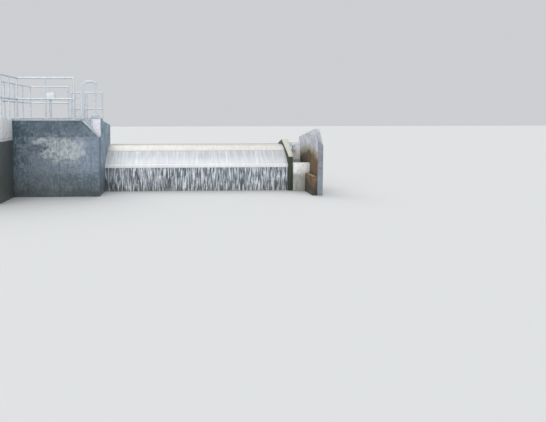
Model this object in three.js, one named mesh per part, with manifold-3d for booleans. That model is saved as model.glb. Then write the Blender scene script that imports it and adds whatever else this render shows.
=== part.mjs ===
// A small hydro intake weir: a concrete weir with a tilted intake screen, an intake chamber with a
// railed deck on its left, and a divider, a compensation bay and a side wall on its right.
// Millimetres, +Z up, +X to the right bank's wall, +Y upstream. The origin is on the base plane
// under the middle of the crest line.
import * as THREE from 'three';
import { mergeVertices } from 'three/addons/utils/BufferGeometryUtils.js';
import Module from 'manifold-3d';

const wasm = await Module();
wasm.setup();

// The clearance between pieces that touch.
const GAP = 0.3;

// Widths across the river, from left to right.
const CHAMBER_WIDTH = 3180;
const SCREEN_WIDTH = 5050;
const DIVIDER_THICK = 200;
const BAY_WIDTH = 370;
const RIGHT_WALL_THICK = 150;
const TOTAL_WIDTH = CHAMBER_WIDTH + SCREEN_WIDTH + DIVIDER_THICK + BAY_WIDTH + RIGHT_WALL_THICK;
const LEFT = -TOTAL_WIDTH / 2;
const CHANNEL_LEFT = LEFT + CHAMBER_WIDTH;
const SCREEN_RIGHT = CHANNEL_LEFT + SCREEN_WIDTH;
const BAY_LEFT = SCREEN_RIGHT + DIVIDER_THICK;
const BAY_RIGHT = BAY_LEFT + BAY_WIDTH;
const RIGHT = TOTAL_WIDTH / 2;

// Heights over the base.
const DECK = 2000;
const GRATING_THICK = 40;
const BEAM_TOP = DECK - GRATING_THICK;
const LOW_DECK = 1800;
const CREST = 1225;

// The weir's section. The crest is an arc that turns from level to the screen's slope.
const CREST_RADIUS = 750;
const SCREEN_ANGLE = THREE.MathUtils.degToRad(36);
const SCREEN_LENGTH = 570;
const SCREEN_THICK = 12;
const SCREEN_SEAT = 70;
const SCREEN_COUNT = 6;
const PLATE_THICK = 6;
const PLATE_FLAT = 150;
const WEIR_BACK = 500;
const WEIR_CHAMFER = 30;
const TOE_FACE = -930;
const TOE_WALL_THICK = 160;
const TROUGH_FLOOR = 300;
const TOE_LEG = 75;
const TOE_THICK = 8;

// The divider, the compensation bay and the right wall.
const DIVIDER_NOSE = -1020;
const DIVIDER_NOSE_THICK = 120;
const DIVIDER_BACK_TOP = CREST + 25;
const DIVIDER_RIDGE_TOP = CREST + 155;
const DIVIDER_FALL_END = -940;
const DIVIDER_FALL_TOP = 1000;
const DIVIDER_NOSE_TOP = 940;
const BAY_WALL_THICK = 200;
const BAY_WALL_TOP = 1295;
const BAY_FLOOR = 600;
const LIP_TOP = 780;
const LIP_FACE = -1110;
const LIP_THICK = 120;
const ORIFICE_RADIUS = 45;
const ORIFICE_X = BAY_LEFT + 110;
const ORIFICE_Z = 1120;
const ORIFICE_PLATE_THICK = 8;
const ORIFICE_PLATE_HALF = 90;
const RIGHT_WALL_FRONT = -1880;
const RIGHT_WALL_PEAK = -1550;
const RIGHT_WALL_PEAK_TOP = 1735;
const RIGHT_WALL_FRONT_TOP = 1400;
const RIGHT_WALL_BACK_TOP = 1447;
const RIGHT_WALL_FALL = 100;
const FOOTING_WIDTH = 130;
const FOOTING_TOP = 500;

// The intake chamber and the landing.
const WALL = 250;
const CHAMBER_FRONT = -1790;
const CHAMBER_BACK = 2900;
const END_CUT = 470;
const SIDE_WALL_BACK = 100;
const SIDE_WALL_STEP = -1150;
const SIDE_WALL_STEP_TOP = 1946;
const SIDE_WALL_BACK_TOP = 1815;
const OUTLET_TOP = 700;
const PLINTH_HEIGHT = 100;
const WING_SHIFT = -630;
const LOW_WALL_LEFT = -3075;
const FLOOR_THICK = 200;
const BEAM_DEPTH = 160;
const BEAM_WIDTH = 82;
const BEAM_WEB = 12;
const BEAM_LINE_1 = -500;
const BEAM_LINE_2 = 1000;
const BAR_PITCH = 41;
const BAR_THICK = 5;
const SLANT_INSET = 25;
const PIER_WIDTH = 220;
const LANDING_WIDTH = 1000;
const LANDING_FRONT = -3000;
const LANDING_CAP = 500;

// Handrails, the ladder and the small fittings.
const TUBE = 48;
const RAIL_HEIGHT = 1076;
const MID_RAIL_HEIGHT = 520;
const FOOT = 100;
const FOOT_THICK = 10;
const EDGE_INSET = 50;
const FRONT_RAIL_Y = -1250;
const BACK_RAIL_Y = CHAMBER_BACK - WALL / 2;
const SIDES = 8;
const STAY_TUBE = 34;
const LADDER_LEFT = -2943;
const LADDER_WIDTH = 340;
const LADDER_OFFSET = 75;
const LADDER_TUBE = 50;
const RUNG = 22;
const RUNG_STEP = 210;
const LADDER_BOTTOM = 700;
const LADDER_BRACKETS = [950, 1650];
const HOOP_TUBE = 38;
const HOOP_HEIGHT = 968;
const HOOP_DECK_LEG = -1793;
const HOOP_PLINTH_LEG = -1453;
const HOOP_SHOULDER = 115;
const HOOP_LINES = [-1480, -1220];
const FRONT_RAIL_END = -2043;
const BACK_POSTS = [-3775, -3130];
const LOW_POSTS = [-3020, -1960];
const STAY_HEIGHT = 900;
const STAY_FOOT = -2620;
const CABINET_X = -3193;
const CABINET_Y = 760;
const CABINET_STEM = 60;
const CABINET_STEM_HEIGHT = 570;
const CABINET_TOP = 795;
const CABINET_HALF_WIDTH = 140;
const CABINET_HALF_DEPTH = 90;

const concrete = new THREE.MeshStandardMaterial({ color: 0x9aa3a8, roughness: 0.9, metalness: 0 });
const wetConcrete = new THREE.MeshStandardMaterial({ color: 0x4d5254, roughness: 0.6, metalness: 0 });
const screenSteel = new THREE.MeshStandardMaterial({ color: 0xb9bdbf, roughness: 0.35, metalness: 0.9 });
const galvanised = new THREE.MeshStandardMaterial({ color: 0xc4c9cb, roughness: 0.5, metalness: 0.7 });
const whitePaint = new THREE.MeshStandardMaterial({ color: 0xe9ebea, roughness: 0.45, metalness: 0 });

const weir = new THREE.Group();

function add(name, geometry, material) {
  const mesh = new THREE.Mesh(geometry, material);
  mesh.name = name;
  weir.add(mesh);
}

function shapeOf(points) {
  return new THREE.Shape(points.map(([u, v]) => new THREE.Vector2(u, v)));
}

// A prism whose section is given by y and z, running along X.
function alongX(section, x0, x1, hole) {
  const shape = shapeOf(section);
  if (hole) {
    shape.holes.push(hole);
  }
  const geometry = new THREE.ExtrudeGeometry(shape, { depth: x1 - x0, bevelEnabled: false });
  const turn = new THREE.Matrix4().makeBasis(
    new THREE.Vector3(0, 1, 0),
    new THREE.Vector3(0, 0, 1),
    new THREE.Vector3(1, 0, 0),
  );
  return geometry.applyMatrix4(turn).translate(x0, 0, 0);
}

// A prism whose section is given by x and z, running along Y.
function alongY(section, y0, y1, hole) {
  const shape = shapeOf(section);
  if (hole) {
    shape.holes.push(hole);
  }
  const geometry = new THREE.ExtrudeGeometry(shape, { depth: y1 - y0, bevelEnabled: false });
  const turn = new THREE.Matrix4().makeBasis(
    new THREE.Vector3(1, 0, 0),
    new THREE.Vector3(0, 0, 1),
    new THREE.Vector3(0, -1, 0),
  );
  return geometry.applyMatrix4(turn).translate(0, y1, 0);
}

// A prism whose plan is given by x and y.
function alongZ(plan, z0, z1) {
  const geometry = new THREE.ExtrudeGeometry(shapeOf(plan), { depth: z1 - z0, bevelEnabled: false });
  return geometry.translate(0, 0, z0);
}

function block(x0, x1, y0, y1, z0, z1) {
  const geometry = new THREE.BoxGeometry(x1 - x0, y1 - y0, z1 - z0);
  return geometry.translate((x0 + x1) / 2, (y0 + y1) / 2, (z0 + z1) / 2);
}

function rectangle(u0, u1, v0, v1) {
  return [[u0, v0], [u1, v0], [u1, v1], [u0, v1]];
}

function toSolid(geometry) {
  const bare = geometry.clone();
  bare.deleteAttribute('normal');
  bare.deleteAttribute('uv');
  const merged = mergeVertices(bare);
  return new wasm.Manifold(new wasm.Mesh({
    numProp: 3,
    vertProperties: new Float32Array(merged.attributes.position.array),
    triVerts: new Uint32Array(merged.index.array),
  }));
}

function toGeometry(solid) {
  const mesh = solid.getMesh();
  const geometry = new THREE.BufferGeometry();
  geometry.setAttribute('position', new THREE.BufferAttribute(mesh.vertProperties, 3));
  geometry.setIndex(new THREE.BufferAttribute(mesh.triVerts, 1));
  return geometry;
}

function fuse(geometries) {
  const [first, ...others] = geometries.map(toSolid);
  return toGeometry(others.reduce((sum, solid) => sum.add(solid), first));
}

// A round bar between two points.
function bar(from, to, diameter, sides = SIDES) {
  const start = new THREE.Vector3(...from);
  const run = new THREE.Vector3(...to).sub(start);
  const geometry = new THREE.CylinderGeometry(diameter / 2, diameter / 2, run.length(), sides);
  const turn = new THREE.Quaternion().setFromUnitVectors(
    new THREE.Vector3(0, 1, 0),
    run.clone().normalize(),
  );
  const middle = start.addScaledVector(run, 0.5);
  return geometry.applyQuaternion(turn).translate(middle.x, middle.y, middle.z);
}

// A bend where two bars meet.
function knuckle(at, diameter) {
  return new THREE.IcosahedronGeometry(diameter / 2, 1).translate(...at);
}

function footPlate(x, y, z, size = FOOT) {
  return block(x - size / 2, x + size / 2, y - size / 2, y + size / 2, z, z + FOOT_THICK);
}

// Points on the screen: s runs down the slope from its top edge, h is the height over its surface.
const SLOPE_TOP_Y = -CREST_RADIUS * Math.sin(SCREEN_ANGLE);
const SLOPE_TOP_Z = CREST - CREST_RADIUS * (1 - Math.cos(SCREEN_ANGLE));

function onSlope(s, h) {
  return [
    SLOPE_TOP_Y - s * Math.cos(SCREEN_ANGLE) - h * Math.sin(SCREEN_ANGLE),
    SLOPE_TOP_Z - s * Math.sin(SCREEN_ANGLE) + h * Math.cos(SCREEN_ANGLE),
  ];
}

// The point of the line at height h over the screen that lies at a given y.
function onSlopeAt(y, h) {
  const [startY] = onSlope(0, h);
  return onSlope((startY - y) / Math.cos(SCREEN_ANGLE), h);
}

// The crest's arc, at a depth below the plate's top, from level to the screen's slope.
function crestArc(depth, steps) {
  const radius = CREST_RADIUS - depth;
  const points = [];
  for (let step = 0; step <= steps; step += 1) {
    const angle = SCREEN_ANGLE * step / steps;
    points.push([-radius * Math.sin(angle), CREST - CREST_RADIUS + radius * Math.cos(angle)]);
  }
  return points;
}

const TROUGH_BACK = onSlope(SCREEN_SEAT, -SCREEN_THICK - GAP)[0];
const TROUGH_FRONT = TOE_FACE + TOE_WALL_THICK;

function addWeir() {
  const x0 = CHANNEL_LEFT + GAP;
  const x1 = SCREEN_RIGHT - GAP;
  const bed = PLATE_THICK + GAP;
  const under = -SCREEN_THICK - GAP;
  const upstream = [
    [TROUGH_BACK, 0],
    [WEIR_BACK, 0],
    [WEIR_BACK, CREST - WEIR_CHAMFER],
    [WEIR_BACK - WEIR_CHAMFER, CREST],
    [PLATE_FLAT + GAP, CREST],
    [PLATE_FLAT + GAP, CREST - bed],
    ...crestArc(bed, 10),
    onSlope(0, under),
    onSlope(SCREEN_SEAT, under),
  ];
  add('weir_upstream_wall', alongX(upstream, x0, x1), wetConcrete);
  add('trough_floor', block(x0, x1, TROUGH_FRONT + GAP, TROUGH_BACK - GAP, 0, TROUGH_FLOOR), wetConcrete);
  const toe = [
    [TOE_FACE, 0],
    [TROUGH_FRONT, 0],
    onSlopeAt(TROUGH_FRONT, under),
    onSlopeAt(TOE_FACE, under),
  ];
  add('weir_toe_wall', alongX(toe, x0, x1), wetConcrete);

  const plate = [
    [PLATE_FLAT, CREST - PLATE_THICK],
    [PLATE_FLAT, CREST],
    ...crestArc(0, 10),
    ...crestArc(PLATE_THICK, 10).reverse(),
  ];
  add('crest_plate', alongX(plate, x0, x1), screenSteel);

  const panel = [
    onSlope(GAP, 0),
    onSlope(SCREEN_LENGTH, 0),
    onSlope(SCREEN_LENGTH, -SCREEN_THICK),
    onSlope(GAP, -SCREEN_THICK),
  ];
  const pitch = (x1 - x0 + GAP) / SCREEN_COUNT;
  for (let index = 0; index < SCREEN_COUNT; index += 1) {
    const start = x0 + index * pitch;
    add(`screen_panel_${index + 1}`, alongX(panel, start, start + pitch - GAP), screenSteel);
  }

  const leg = TOE_FACE - GAP;
  const edge = onSlopeAt(leg - TOE_THICK, 0);
  const angle = [
    onSlope(SCREEN_LENGTH + GAP, 0),
    edge,
    [edge[0], edge[1] - TOE_LEG],
    [leg, edge[1] - TOE_LEG],
    onSlopeAt(leg, -SCREEN_THICK),
    onSlope(SCREEN_LENGTH + GAP, -SCREEN_THICK),
  ];
  add('toe_angle', alongX(angle, x0, x1), screenSteel);
}

function addRightBank() {
  const section = [
    [WEIR_BACK, 0],
    [WEIR_BACK, DIVIDER_BACK_TOP],
    [0, DIVIDER_RIDGE_TOP],
    [DIVIDER_FALL_END, DIVIDER_FALL_TOP],
    [DIVIDER_NOSE, DIVIDER_NOSE_TOP],
    [DIVIDER_NOSE, 0],
  ];
  // In plan the divider narrows towards its nose, on the bay's side.
  const noseRight = SCREEN_RIGHT + DIVIDER_NOSE_THICK;
  const plan = [
    [SCREEN_RIGHT, DIVIDER_NOSE],
    [noseRight, DIVIDER_NOSE],
    [BAY_LEFT, 0],
    [BAY_LEFT, WEIR_BACK],
    [SCREEN_RIGHT, WEIR_BACK],
  ];
  const upright = toSolid(alongX(section, SCREEN_RIGHT, BAY_LEFT));
  const divider = upright.intersect(toSolid(alongZ(plan, 0, DIVIDER_RIDGE_TOP)));
  add('divider_wall', toGeometry(divider), wetConcrete);

  const x0 = BAY_LEFT + GAP;
  const x1 = BAY_RIGHT - GAP;
  const hole = new THREE.Path().absarc(ORIFICE_X, ORIFICE_Z, ORIFICE_RADIUS, 0, 2 * Math.PI);
  const backWall = alongY(rectangle(x0, x1, 0, BAY_WALL_TOP), 0, BAY_WALL_THICK, hole);
  add('notch_back_wall', backWall, concrete);
  const plate = rectangle(
    ORIFICE_X - ORIFICE_PLATE_HALF,
    ORIFICE_X + ORIFICE_PLATE_HALF,
    ORIFICE_Z - ORIFICE_PLATE_HALF,
    ORIFICE_Z + ORIFICE_PLATE_HALF,
  );
  add('orifice_plate', alongY(plate, -ORIFICE_PLATE_THICK - GAP, -GAP, hole), galvanised);
  const lipBack = LIP_FACE + LIP_THICK;
  const lean = (BAY_LEFT - noseRight) / -DIVIDER_NOSE;
  const floorStart = lipBack + GAP;
  const clear = 2 * GAP;
  const floor = [
    [BAY_LEFT + clear + lean * floorStart, floorStart],
    [x1, floorStart],
    [x1, -GAP],
    [BAY_LEFT + clear - lean * GAP, -GAP],
  ];
  add('notch_floor', alongZ(floor, 0, BAY_FLOOR), wetConcrete);
  const lip = [
    [noseRight + clear, LIP_FACE],
    [x1, LIP_FACE],
    [x1, lipBack],
    [BAY_LEFT + clear + lean * lipBack, lipBack],
    [noseRight + clear, DIVIDER_NOSE],
  ];
  add('notch_lip', alongZ(lip, 0, LIP_TOP), wetConcrete);

  const wall = [
    [RIGHT_WALL_FRONT, 0],
    [BAY_WALL_THICK, 0],
    [BAY_WALL_THICK, RIGHT_WALL_BACK_TOP],
    [RIGHT_WALL_PEAK, RIGHT_WALL_PEAK_TOP],
    [RIGHT_WALL_FRONT, RIGHT_WALL_FRONT_TOP],
  ];
  const whole = alongX(wall, BAY_RIGHT, RIGHT);
  // The near end falls towards the bank as well as towards the river.
  const along = (RIGHT_WALL_PEAK_TOP - RIGHT_WALL_FRONT_TOP) / (RIGHT_WALL_PEAK - RIGHT_WALL_FRONT);
  const across = -RIGHT_WALL_FALL / RIGHT_WALL_THICK;
  const up = new THREE.Vector3(-across, -along, 1).normalize();
  const cutSize = 3000;
  const cutter = new THREE.BoxGeometry(cutSize, cutSize, cutSize);
  cutter.applyQuaternion(new THREE.Quaternion().setFromUnitVectors(new THREE.Vector3(0, 0, 1), up));
  const centre = new THREE.Vector3(BAY_RIGHT, RIGHT_WALL_PEAK, RIGHT_WALL_PEAK_TOP);
  centre.addScaledVector(up, cutSize / 2);
  cutter.translate(centre.x, centre.y, centre.z);
  add('right_side_wall', toGeometry(toSolid(whole).subtract(toSolid(cutter))), concrete);

  const footing = block(
    BAY_RIGHT - FOOTING_WIDTH,
    BAY_RIGHT - GAP,
    RIGHT_WALL_FRONT,
    LIP_FACE - GAP,
    0,
    FOOTING_TOP,
  );
  add('right_wall_footing', footing, wetConcrete);
}

// The wing wall's faces lean to the left as they run upstream.
function wingX(y, offset) {
  const share = (y - SIDE_WALL_BACK) / (CHAMBER_BACK - SIDE_WALL_BACK);
  return CHANNEL_LEFT - offset + share * WING_SHIFT;
}

const FRONT_INNER = CHAMBER_FRONT + WALL;
const BACK_INNER = CHAMBER_BACK - WALL;
const SIDE_INNER = CHANNEL_LEFT - WALL;

function addChamber() {
  const front = [
    [LEFT, 0],
    [CHANNEL_LEFT, 0],
    [CHANNEL_LEFT, DECK - END_CUT],
    [CHANNEL_LEFT - END_CUT + GRATING_THICK, BEAM_TOP],
    [LEFT, BEAM_TOP],
  ];
  add('chamber_front_wall', alongY(front, CHAMBER_FRONT, FRONT_INNER), concrete);

  const side = [
    [FRONT_INNER + GAP, 0],
    [SIDE_WALL_BACK, 0],
    [SIDE_WALL_BACK, SIDE_WALL_BACK_TOP],
    [SIDE_WALL_STEP, SIDE_WALL_STEP_TOP],
    [SIDE_WALL_STEP, DECK],
    [FRONT_INNER + GAP, DECK],
  ];
  const outlet = new THREE.Path(
    rectangle(TROUGH_FRONT, TROUGH_BACK, TROUGH_FLOOR, OUTLET_TOP).map(([y, z]) => new THREE.Vector2(y, z)),
  );
  add('channel_side_wall', alongX(side, SIDE_INNER, CHANNEL_LEFT, outlet), concrete);
  const plinth = block(
    SIDE_INNER,
    CHANNEL_LEFT,
    FRONT_INNER + GAP,
    SIDE_WALL_STEP,
    DECK + GAP,
    DECK + PLINTH_HEIGHT,
  );
  add('side_wall_plinth', plinth, concrete);
  const pier = block(
    SIDE_INNER - PIER_WIDTH,
    SIDE_INNER - GAP,
    FRONT_INNER + GAP,
    SIDE_WALL_STEP,
    FLOOR_THICK + GAP,
    BEAM_TOP,
  );
  add('corner_pier', pier, concrete);

  const wing = [
    [wingX(SIDE_WALL_BACK, WALL), SIDE_WALL_BACK + GAP],
    [wingX(SIDE_WALL_BACK, 0), SIDE_WALL_BACK + GAP],
    [wingX(CHAMBER_BACK, 0), CHAMBER_BACK],
    [wingX(CHAMBER_BACK, WALL), CHAMBER_BACK],
  ];
  add('upstream_wing_wall', alongZ(wing, 0, LOW_DECK), concrete);
  const leftInner = LEFT + WALL;
  add('chamber_left_wall', block(LEFT, leftInner, FRONT_INNER + GAP, BACK_INNER - GAP, 0, BEAM_TOP), concrete);
  add('chamber_back_wall', block(LEFT, LOW_WALL_LEFT, BACK_INNER, CHAMBER_BACK, 0, DECK), concrete);
  const low = [
    [LOW_WALL_LEFT + GAP, BACK_INNER],
    [wingX(BACK_INNER, WALL) - GAP, BACK_INNER],
    [wingX(CHAMBER_BACK, WALL) - GAP, CHAMBER_BACK],
    [LOW_WALL_LEFT + GAP, CHAMBER_BACK],
  ];
  add('back_low_wall', alongZ(low, 0, LOW_DECK), concrete);

  const floor = [
    [leftInner + GAP, FRONT_INNER + GAP],
    [SIDE_INNER - GAP, FRONT_INNER + GAP],
    [SIDE_INNER - GAP, SIDE_WALL_BACK],
    [wingX(BACK_INNER, WALL) - GAP, BACK_INNER - GAP],
    [leftInner + GAP, BACK_INNER - GAP],
  ];
  add('chamber_floor', alongZ(floor, 0, FLOOR_THICK), concrete);
}

// The deck's right edge follows the side wall and then the wing wall.
function deckRight(y) {
  return y < SIDE_WALL_BACK ? SIDE_INNER - GAP : wingX(y, WALL) - GAP;
}

// How far upstream the deck reaches at a distance across, up to a limit.
function deckReach(x, limit) {
  const past = x - deckRight(limit);
  return past <= 0 ? limit : limit + (past * (CHAMBER_BACK - SIDE_WALL_BACK)) / WING_SHIFT;
}

// The slots of a grating between two lines across the deck, one between each two bearing bars.
function gratingSlots(near, far) {
  const end = Math.min(deckRight(near), deckRight(far));
  const right = Math.max(deckRight(near), deckRight(far)) - BAR_THICK;
  const notched = near === CHAMBER_FRONT;
  const openings = [];
  for (let x = LEFT; x + BAR_PITCH < right; x += BAR_PITCH) {
    const x0 = x + BAR_THICK;
    const x1 = x + BAR_PITCH;
    const start = notched && x1 > CHANNEL_LEFT - END_CUT - BAR_THICK ? FRONT_INNER : near;
    const low = start + BAR_THICK;
    const inset = x1 > end - BAR_THICK ? SLANT_INSET : BAR_THICK;
    const high0 = deckReach(x0, far) - inset;
    const high1 = deckReach(x1, far) - inset;
    if (high1 - low > BAR_PITCH) {
      openings.push([[x0, low], [x0, high0], [x1, high1], [x1, low]]);
    }
  }
  return openings;
}

function addDeck() {
  const beamLines = [BEAM_LINE_1, BEAM_LINE_2, BACK_INNER - BEAM_WIDTH / 2 - 2];
  const half = BEAM_WIDTH / 2;
  const low = BEAM_TOP - BEAM_DEPTH;
  const top = BEAM_TOP - GAP;
  beamLines.forEach((y, index) => {
    const section = [
      [y - half, low],
      [y + half, low],
      [y + half, low + BEAM_WEB],
      [y + BEAM_WEB / 2, low + BEAM_WEB],
      [y + BEAM_WEB / 2, top - BEAM_WEB],
      [y + half, top - BEAM_WEB],
      [y + half, top],
      [y - half, top],
      [y - half, top - BEAM_WEB],
      [y - BEAM_WEB / 2, top - BEAM_WEB],
      [y - BEAM_WEB / 2, low + BEAM_WEB],
      [y - half, low + BEAM_WEB],
    ];
    add(`deck_beam_${index + 1}`, alongX(section, LEFT + WALL + GAP, deckRight(y + half)), galvanised);
  });

  const [first, second] = beamLines;
  const frontCut = CHANNEL_LEFT - END_CUT;
  const plans = [
    [
      [LEFT, CHAMBER_FRONT],
      [frontCut, CHAMBER_FRONT],
      [frontCut, FRONT_INNER + GAP],
      [deckRight(first), FRONT_INNER + GAP],
      [deckRight(first), first - GAP],
      [LEFT, first - GAP],
    ],
    [
      [LEFT, first],
      [deckRight(first), first],
      [deckRight(first), SIDE_WALL_BACK],
      [deckRight(second), second - GAP],
      [LEFT, second - GAP],
    ],
    [
      [LEFT, second],
      [deckRight(second), second],
      [deckRight(BACK_INNER), BACK_INNER - GAP],
      [LEFT, BACK_INNER - GAP],
    ],
  ];
  const lines = [CHAMBER_FRONT, first, second, BACK_INNER];
  plans.forEach((plan, index) => {
    const openings = gratingSlots(lines[index], lines[index + 1]);
    const cutters = openings.map((slot) => toSolid(alongZ(slot, BEAM_TOP - GRATING_THICK, DECK + GRATING_THICK)));
    const plate = toSolid(alongZ(plan, BEAM_TOP + GAP, DECK));
    const grating = cutters.reduce((solid, cutter) => solid.subtract(cutter), plate);
    add(`deck_grating_${index + 1}`, toGeometry(grating), galvanised);
  });
}

function addLanding() {
  const x1 = LEFT + LANDING_WIDTH;
  const back = CHAMBER_FRONT - GAP;
  const joint = DECK - LANDING_CAP;
  add('landing_block', block(LEFT, x1, LANDING_FRONT, back, 0, joint - GAP), concrete);
  add('landing_cap', block(LEFT, x1, LANDING_FRONT, back, joint, DECK), concrete);
}

// A straight handrail: posts with foot plates at the given points, a top rail and a middle rail.
// The rails run from start to end, which may lie past the posts.
function handrail(start, end, posts, base) {
  const pieces = [];
  for (const [x, y] of posts) {
    pieces.push(bar([x, y, base], [x, y, base + RAIL_HEIGHT], TUBE));
    pieces.push(footPlate(x, y, base));
    pieces.push(knuckle([x, y, base + RAIL_HEIGHT], TUBE));
  }
  for (const height of [MID_RAIL_HEIGHT, RAIL_HEIGHT]) {
    pieces.push(bar([...start, base + height], [...end, base + height], TUBE));
  }
  return pieces;
}

function spread(from, to, count) {
  const points = [];
  for (let index = 0; index < count; index += 1) {
    const share = index / (count - 1);
    points.push([from[0] + (to[0] - from[0]) * share, from[1] + (to[1] - from[1]) * share]);
  }
  return points;
}

function addHandrails() {
  const deckBase = DECK + GAP;
  const clear = TUBE / 2 + GAP;
  const cornerX = LEFT + LANDING_WIDTH - EDGE_INSET;
  const frontPosts = spread([cornerX, FRONT_RAIL_Y], [FRONT_RAIL_END, FRONT_RAIL_Y], 3);
  add('front_handrail', fuse(handrail(frontPosts[0], frontPosts[2], frontPosts, deckBase)), galvanised);

  const sideEnd = [cornerX, LANDING_FRONT + EDGE_INSET];
  const sidePosts = spread([cornerX, CHAMBER_FRONT - 60], sideEnd, 3);
  const sideStart = [cornerX, FRONT_RAIL_Y - clear];
  add('landing_side_handrail', fuse(handrail(sideStart, sideEnd, sidePosts, deckBase)), galvanised);

  const edgeX = LEFT + EDGE_INSET;
  const leftPosts = spread([edgeX, LANDING_FRONT + EDGE_INSET], [edgeX, BACK_RAIL_Y], 8);
  add('left_handrail', fuse(handrail(leftPosts[0], leftPosts[7], leftPosts, deckBase)), galvanised);

  const backStart = [edgeX + clear, BACK_RAIL_Y];
  const backPosts = BACK_POSTS.map((x) => [x, BACK_RAIL_Y]);
  add('back_handrail', fuse(handrail(backStart, backPosts[1], backPosts, deckBase)), galvanised);

  const lowBase = LOW_DECK + GAP;
  const lowPosts = spread([LOW_POSTS[0], BACK_RAIL_Y], [LOW_POSTS[1], BACK_RAIL_Y], 3);
  const lowRail = handrail(lowPosts[0], lowPosts[2], lowPosts, lowBase);
  const stayTop = [lowPosts[0][0], BACK_RAIL_Y, lowBase + STAY_HEIGHT];
  const stayFoot = [STAY_FOOT, BACK_RAIL_Y, lowBase + STAY_TUBE / 2 - 1];
  lowRail.push(bar(stayTop, stayFoot, STAY_TUBE));
  lowRail.push(footPlate(stayFoot[0], BACK_RAIL_Y, lowBase));
  add('back_low_handrail', fuse(lowRail), galvanised);
}

function addLadder() {
  const y = CHAMBER_BACK + LADDER_OFFSET;
  const top = LOW_DECK + RAIL_HEIGHT;
  const stiles = [LADDER_LEFT, LADDER_LEFT + LADDER_WIDTH];
  const bracket = LADDER_TUBE * 0.4;
  const pieces = [];
  for (const x of stiles) {
    pieces.push(bar([x, y, LADDER_BOTTOM], [x, y, top], LADDER_TUBE));
    for (const z of LADDER_BRACKETS) {
      pieces.push(block(x - bracket, x + bracket, CHAMBER_BACK + GAP, y, z, z + LADDER_TUBE));
    }
  }
  for (let z = LADDER_BOTTOM + RUNG_STEP / 2; z < top; z += RUNG_STEP) {
    pieces.push(bar([stiles[0], y, z], [stiles[1], y, z], RUNG));
  }
  add('ladder', fuse(pieces), galvanised);
}

// A hoop that steps over the plinth: one leg on the deck, the other on the plinth.
function addHoops() {
  const top = DECK + HOOP_HEIGHT;
  HOOP_LINES.forEach((y, index) => {
    const bends = [
      [HOOP_DECK_LEG, y, top - HOOP_SHOULDER],
      [HOOP_DECK_LEG + HOOP_SHOULDER, y, top],
      [HOOP_PLINTH_LEG, y, top],
    ];
    const line = [
      [HOOP_DECK_LEG, y, DECK + GAP],
      ...bends,
      [HOOP_PLINTH_LEG, y, DECK + PLINTH_HEIGHT + GAP],
    ];
    const pieces = bends.map((bend) => knuckle(bend, HOOP_TUBE));
    for (let step = 1; step < line.length; step += 1) {
      pieces.push(bar(line[step - 1], line[step], HOOP_TUBE));
    }
    pieces.push(footPlate(HOOP_DECK_LEG, y, DECK + GAP));
    pieces.push(footPlate(HOOP_PLINTH_LEG, y, DECK + PLINTH_HEIGHT + GAP));
    add(`hoop_rail_${index + 1}`, fuse(pieces), galvanised);
  });
}

function addInstrument() {
  const x = CABINET_X;
  const y = CABINET_Y;
  const boxBottom = DECK + CABINET_STEM_HEIGHT;
  const post = [
    bar([x, y, DECK + GAP], [x, y, boxBottom], CABINET_STEM, 12),
    footPlate(x, y, DECK + GAP, FOOT * 1.6),
  ];
  add('instrument_post', fuse(post), galvanised);
  const cabinet = block(
    x - CABINET_HALF_WIDTH,
    x + CABINET_HALF_WIDTH,
    y - CABINET_HALF_DEPTH,
    y + CABINET_HALF_DEPTH,
    boxBottom + GAP,
    DECK + CABINET_TOP,
  );
  add('instrument_box', cabinet, whitePaint);
}

addWeir();
addRightBank();
addChamber();
addDeck();
addLanding();
addHandrails();
addLadder();
addHoops();
addInstrument();

export default weir;
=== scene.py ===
import math

import bmesh
import bpy
from mathutils import Matrix, Vector


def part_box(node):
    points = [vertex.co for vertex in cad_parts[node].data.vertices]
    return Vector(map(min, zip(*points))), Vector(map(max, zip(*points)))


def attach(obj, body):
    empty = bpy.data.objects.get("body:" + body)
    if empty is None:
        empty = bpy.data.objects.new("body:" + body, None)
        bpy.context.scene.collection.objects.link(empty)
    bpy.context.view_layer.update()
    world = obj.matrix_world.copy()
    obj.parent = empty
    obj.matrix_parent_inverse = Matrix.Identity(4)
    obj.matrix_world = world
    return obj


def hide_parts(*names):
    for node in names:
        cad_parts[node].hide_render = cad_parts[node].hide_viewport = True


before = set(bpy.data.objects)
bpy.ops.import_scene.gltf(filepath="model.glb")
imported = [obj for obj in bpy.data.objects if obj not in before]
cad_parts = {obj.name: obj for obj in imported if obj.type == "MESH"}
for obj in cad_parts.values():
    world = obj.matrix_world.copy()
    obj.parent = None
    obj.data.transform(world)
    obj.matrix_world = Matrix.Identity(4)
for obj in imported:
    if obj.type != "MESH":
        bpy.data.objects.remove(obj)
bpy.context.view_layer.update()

# Heights and lines of the weir that the pieces share, in metres.
DECK = 2.0
LOW_DECK = 1.8
GRATING_UNDERSIDE = 1.9603
CREST = 1.225
FRONT_FACE = -1.79
FRONT_INNER = -1.54
LANDING_FRONT = -3.0
CHAMBER_LEFT = -4.475
LEFT_WALL_INNER = -4.225
CHANNEL_LEFT = -1.295
SIDE_WALL_INNER = -1.545
FRONT_CUT = -1.765
SIDE_WALL_BACK = 0.1
BACK_INNER = 2.65
BACK_FACE = 2.9
BEAM_LINES = (-0.5, 1.0)
BAR_PITCH = 0.041
BAR_THICK = 0.005
FOOT_THICK = 0.01
TUBE_SEAT = 0.008
CLEAR = 0.0006
WING_SLANT = -0.225
SCREEN_LEFT = -1.2947
SCREEN_RIGHT = 3.7547
SCREEN_SLOPE = math.radians(36)
SLOPE_TOP = (-0.4408, 1.0818)
SCREEN_LENGTH = 0.57
SCREEN_THICK = 0.012
SCREEN_COUNT = 6
SCREEN_PITCH = (SCREEN_RIGHT - SCREEN_LEFT) / SCREEN_COUNT
BAY_LEFT = 3.955
BAY_RIGHT = 4.325
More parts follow.
